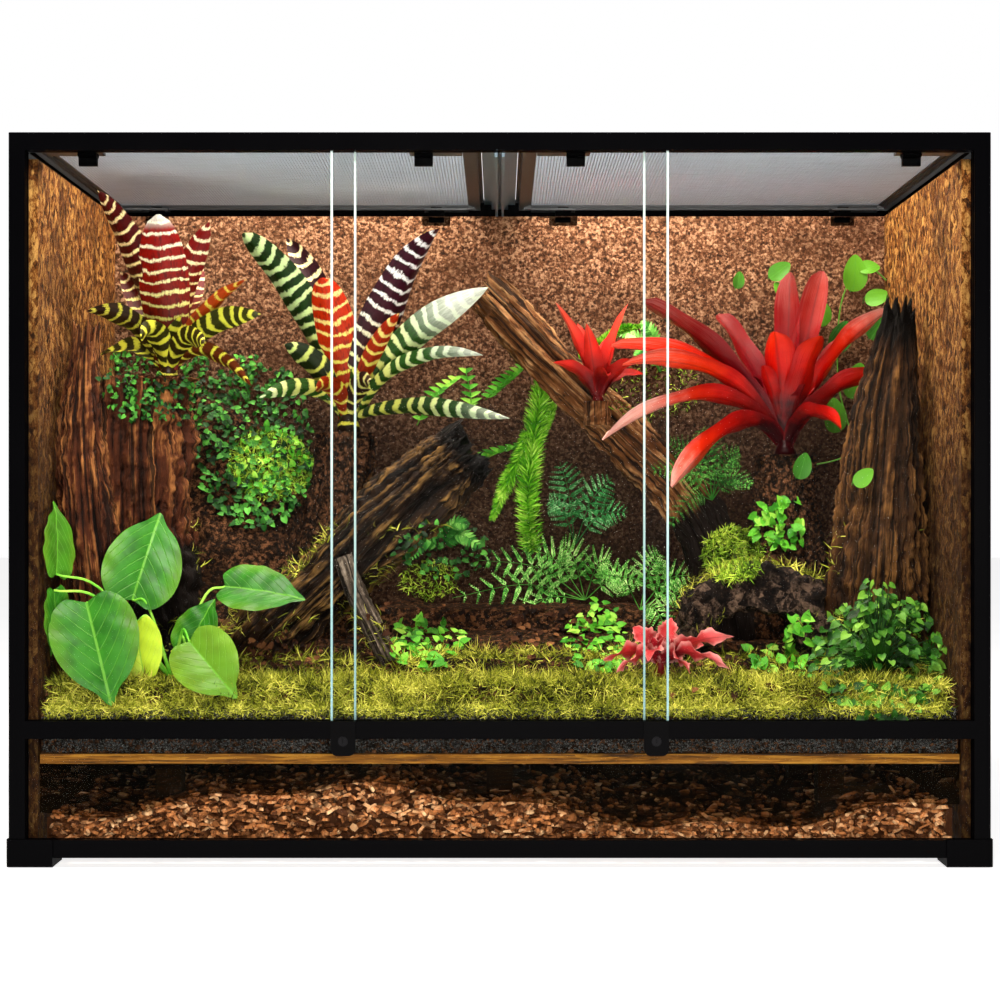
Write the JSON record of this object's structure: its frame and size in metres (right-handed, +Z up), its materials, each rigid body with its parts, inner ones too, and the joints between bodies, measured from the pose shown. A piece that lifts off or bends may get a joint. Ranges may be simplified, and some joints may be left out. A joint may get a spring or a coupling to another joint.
{
  "type": "reptile terrarium",
  "caption": "Tall planted glass terrarium with a black frame, sliding front doors, low water window, lift-off mesh screens with latches, cork walls and bromeliads.",
  "frame": {"origin": "centre of the footprint on the ground", "axes": "+X to the right seen from the front, +Y to the rear, +Z up; the doors face -Y"},
  "size_m": [1.219, 0.61, 0.909],
  "materials": {
    "frame_plastic": "satin black extruded profile",
    "foot_rubber": "matt rubber pad",
    "glass": "clear float glass",
    "clear_seal": "clear extruded edge strip",
    "lock_black": "moulded black",
    "lock_metal": "dark plated lock barrel",
    "screen_metal": "dark anodised profile",
    "screen_corner": "dark grey moulded",
    "net_steel": "woven wire net",
    "latch_black": "moulded black",
    "cork": "pressed cork bark granulate",
    "chips": "bark chips",
    "water": "dark still water",
    "board": "golden board",
    "soil": "soil, gravel and moss",
    "driftwood": "dark weathered wood",
    "log": "brown weathered wood",
    "stump": "fibrous red-brown bark",
    "rock": "dark wet wood and stone",
    "leaf_banded": "banded leaf",
    "leaf_purple": "banded leaf",
    "leaf_red": "glossy red leaf",
    "leaf_pink": "pink leaf",
    "leaf_green": "glossy green leaf",
    "leaf_fig": "small green leaf"
  },
  "bodies": {
    "frame": {"base_rail_front": "frame_plastic", "base_rail_rear": "frame_plastic", "base_rails_side": "frame_plastic", "corner_feet": "frame_plastic", "posts_front": "frame_plastic", "posts_rear": "frame_plastic", "top_corners": "frame_plastic", "top_rail_front": "frame_plastic", "top_rail_rear": "frame_plastic", "top_rails_side": "frame_plastic", "mid_rail": "frame_plastic", "centre_beam": "frame_plastic", "foot_pads": "foot_rubber", "bottom_glass": "glass", "left_glass": "glass", "right_glass": "glass", "back_glass": "glass", "front_window": "glass", "lock_body_left": "lock_black", "lock_body_right": "lock_black", "cork_back": "cork", "cork_sides": "cork", "wood_chips": "chips", "water": "water", "false_bottom": "board", "soil": "soil", "root_bank": "soil", "driftwood_trunk": "driftwood", "leaning_log": "log", "cork_stumps": "stump", "cave_rock": "rock", "bromeliad_left": "leaf_banded", "bromeliad_tall": "leaf_purple", "bromeliad_red": "leaf_red", "bromeliad_small": "leaf_red", "earth_star": "leaf_pink", "philodendron": "leaf_green", "creeping_fig": "leaf_fig"},
    "door_left": {"door_left": "glass", "door_left_seal": "clear_seal"},
    "door_middle": {"door_middle": "glass", "door_middle_seals": "clear_seal"},
    "door_right": {"door_right": "glass", "door_right_seal": "clear_seal"},
    "lock_left": {"lock_cylinder_left": "lock_metal"},
    "lock_right": {"lock_cylinder_right": "lock_metal"},
    "screen_left": {"screen_frame_left": "screen_metal", "screen_corners_left": "screen_corner", "screen_net_left": "net_steel"},
    "screen_right": {"screen_frame_right": "screen_metal", "screen_corners_right": "screen_corner", "screen_net_right": "net_steel"},
    "latch_front_1": {"latch_front_1": "latch_black"},
    "latch_rear_1": {"latch_rear_1": "latch_black"},
    "latch_front_2": {"latch_front_2": "latch_black"},
    "latch_rear_2": {"latch_rear_2": "latch_black"},
    "latch_front_3": {"latch_front_3": "latch_black"},
    "latch_rear_3": {"latch_rear_3": "latch_black"},
    "latch_front_4": {"latch_front_4": "latch_black"},
    "latch_rear_4": {"latch_rear_4": "latch_black"}
  },
  "joints": [
    {"name": "door_left_slide", "type": "slide", "parent": "frame", "child": "door_left", "axis": [1, 0, 0], "range_m": [0, 0.35]},
    {"name": "door_middle_slide", "type": "slide", "parent": "frame", "child": "door_middle", "axis": [1, 0, 0], "range_m": [-0.385, 0.385]},
    {"name": "door_right_slide", "type": "slide", "parent": "frame", "child": "door_right", "axis": [1, 0, 0], "range_m": [-0.35, 0]},
    {"name": "lock_left_turn", "type": "hinge", "parent": "frame", "child": "lock_left", "pos_m": [-0.1935, -0.3, 0.157], "axis": [0, 1, 0], "range_deg": [0, 90]},
    {"name": "lock_right_turn", "type": "hinge", "parent": "frame", "child": "lock_right", "pos_m": [0.1935, -0.3, 0.157], "axis": [0, -1, 0], "range_deg": [0, 90]},
    {"name": "screen_left_lift", "type": "slide", "parent": "frame", "child": "screen_left", "axis": [0, 0, 1], "range_m": [0, 0.25]},
    {"name": "screen_right_lift", "type": "slide", "parent": "frame", "child": "screen_right", "axis": [0, 0, 1], "range_m": [0, 0.25]},
    {"name": "latch_front_1_slide", "type": "slide", "parent": "screen_left", "child": "latch_front_1", "axis": [0, -1, 0], "range_m": [0, 0.0035]},
    {"name": "latch_rear_1_slide", "type": "slide", "parent": "screen_left", "child": "latch_rear_1", "axis": [0, 1, 0], "range_m": [0, 0.0035]},
    {"name": "latch_front_2_slide", "type": "slide", "parent": "screen_left", "child": "latch_front_2", "axis": [0, -1, 0], "range_m": [0, 0.0035]},
    {"name": "latch_rear_2_slide", "type": "slide", "parent": "screen_left", "child": "latch_rear_2", "axis": [0, 1, 0], "range_m": [0, 0.0035]},
    {"name": "latch_front_3_slide", "type": "slide", "parent": "screen_right", "child": "latch_front_3", "axis": [0, -1, 0], "range_m": [0, 0.0035]},
    {"name": "latch_rear_3_slide", "type": "slide", "parent": "screen_right", "child": "latch_rear_3", "axis": [0, 1, 0], "range_m": [0, 0.0035]},
    {"name": "latch_front_4_slide", "type": "slide", "parent": "screen_right", "child": "latch_front_4", "axis": [0, -1, 0], "range_m": [0, 0.0035]},
    {"name": "latch_rear_4_slide", "type": "slide", "parent": "screen_right", "child": "latch_rear_4", "axis": [0, 1, 0], "range_m": [0, 0.0035]}
  ]
}
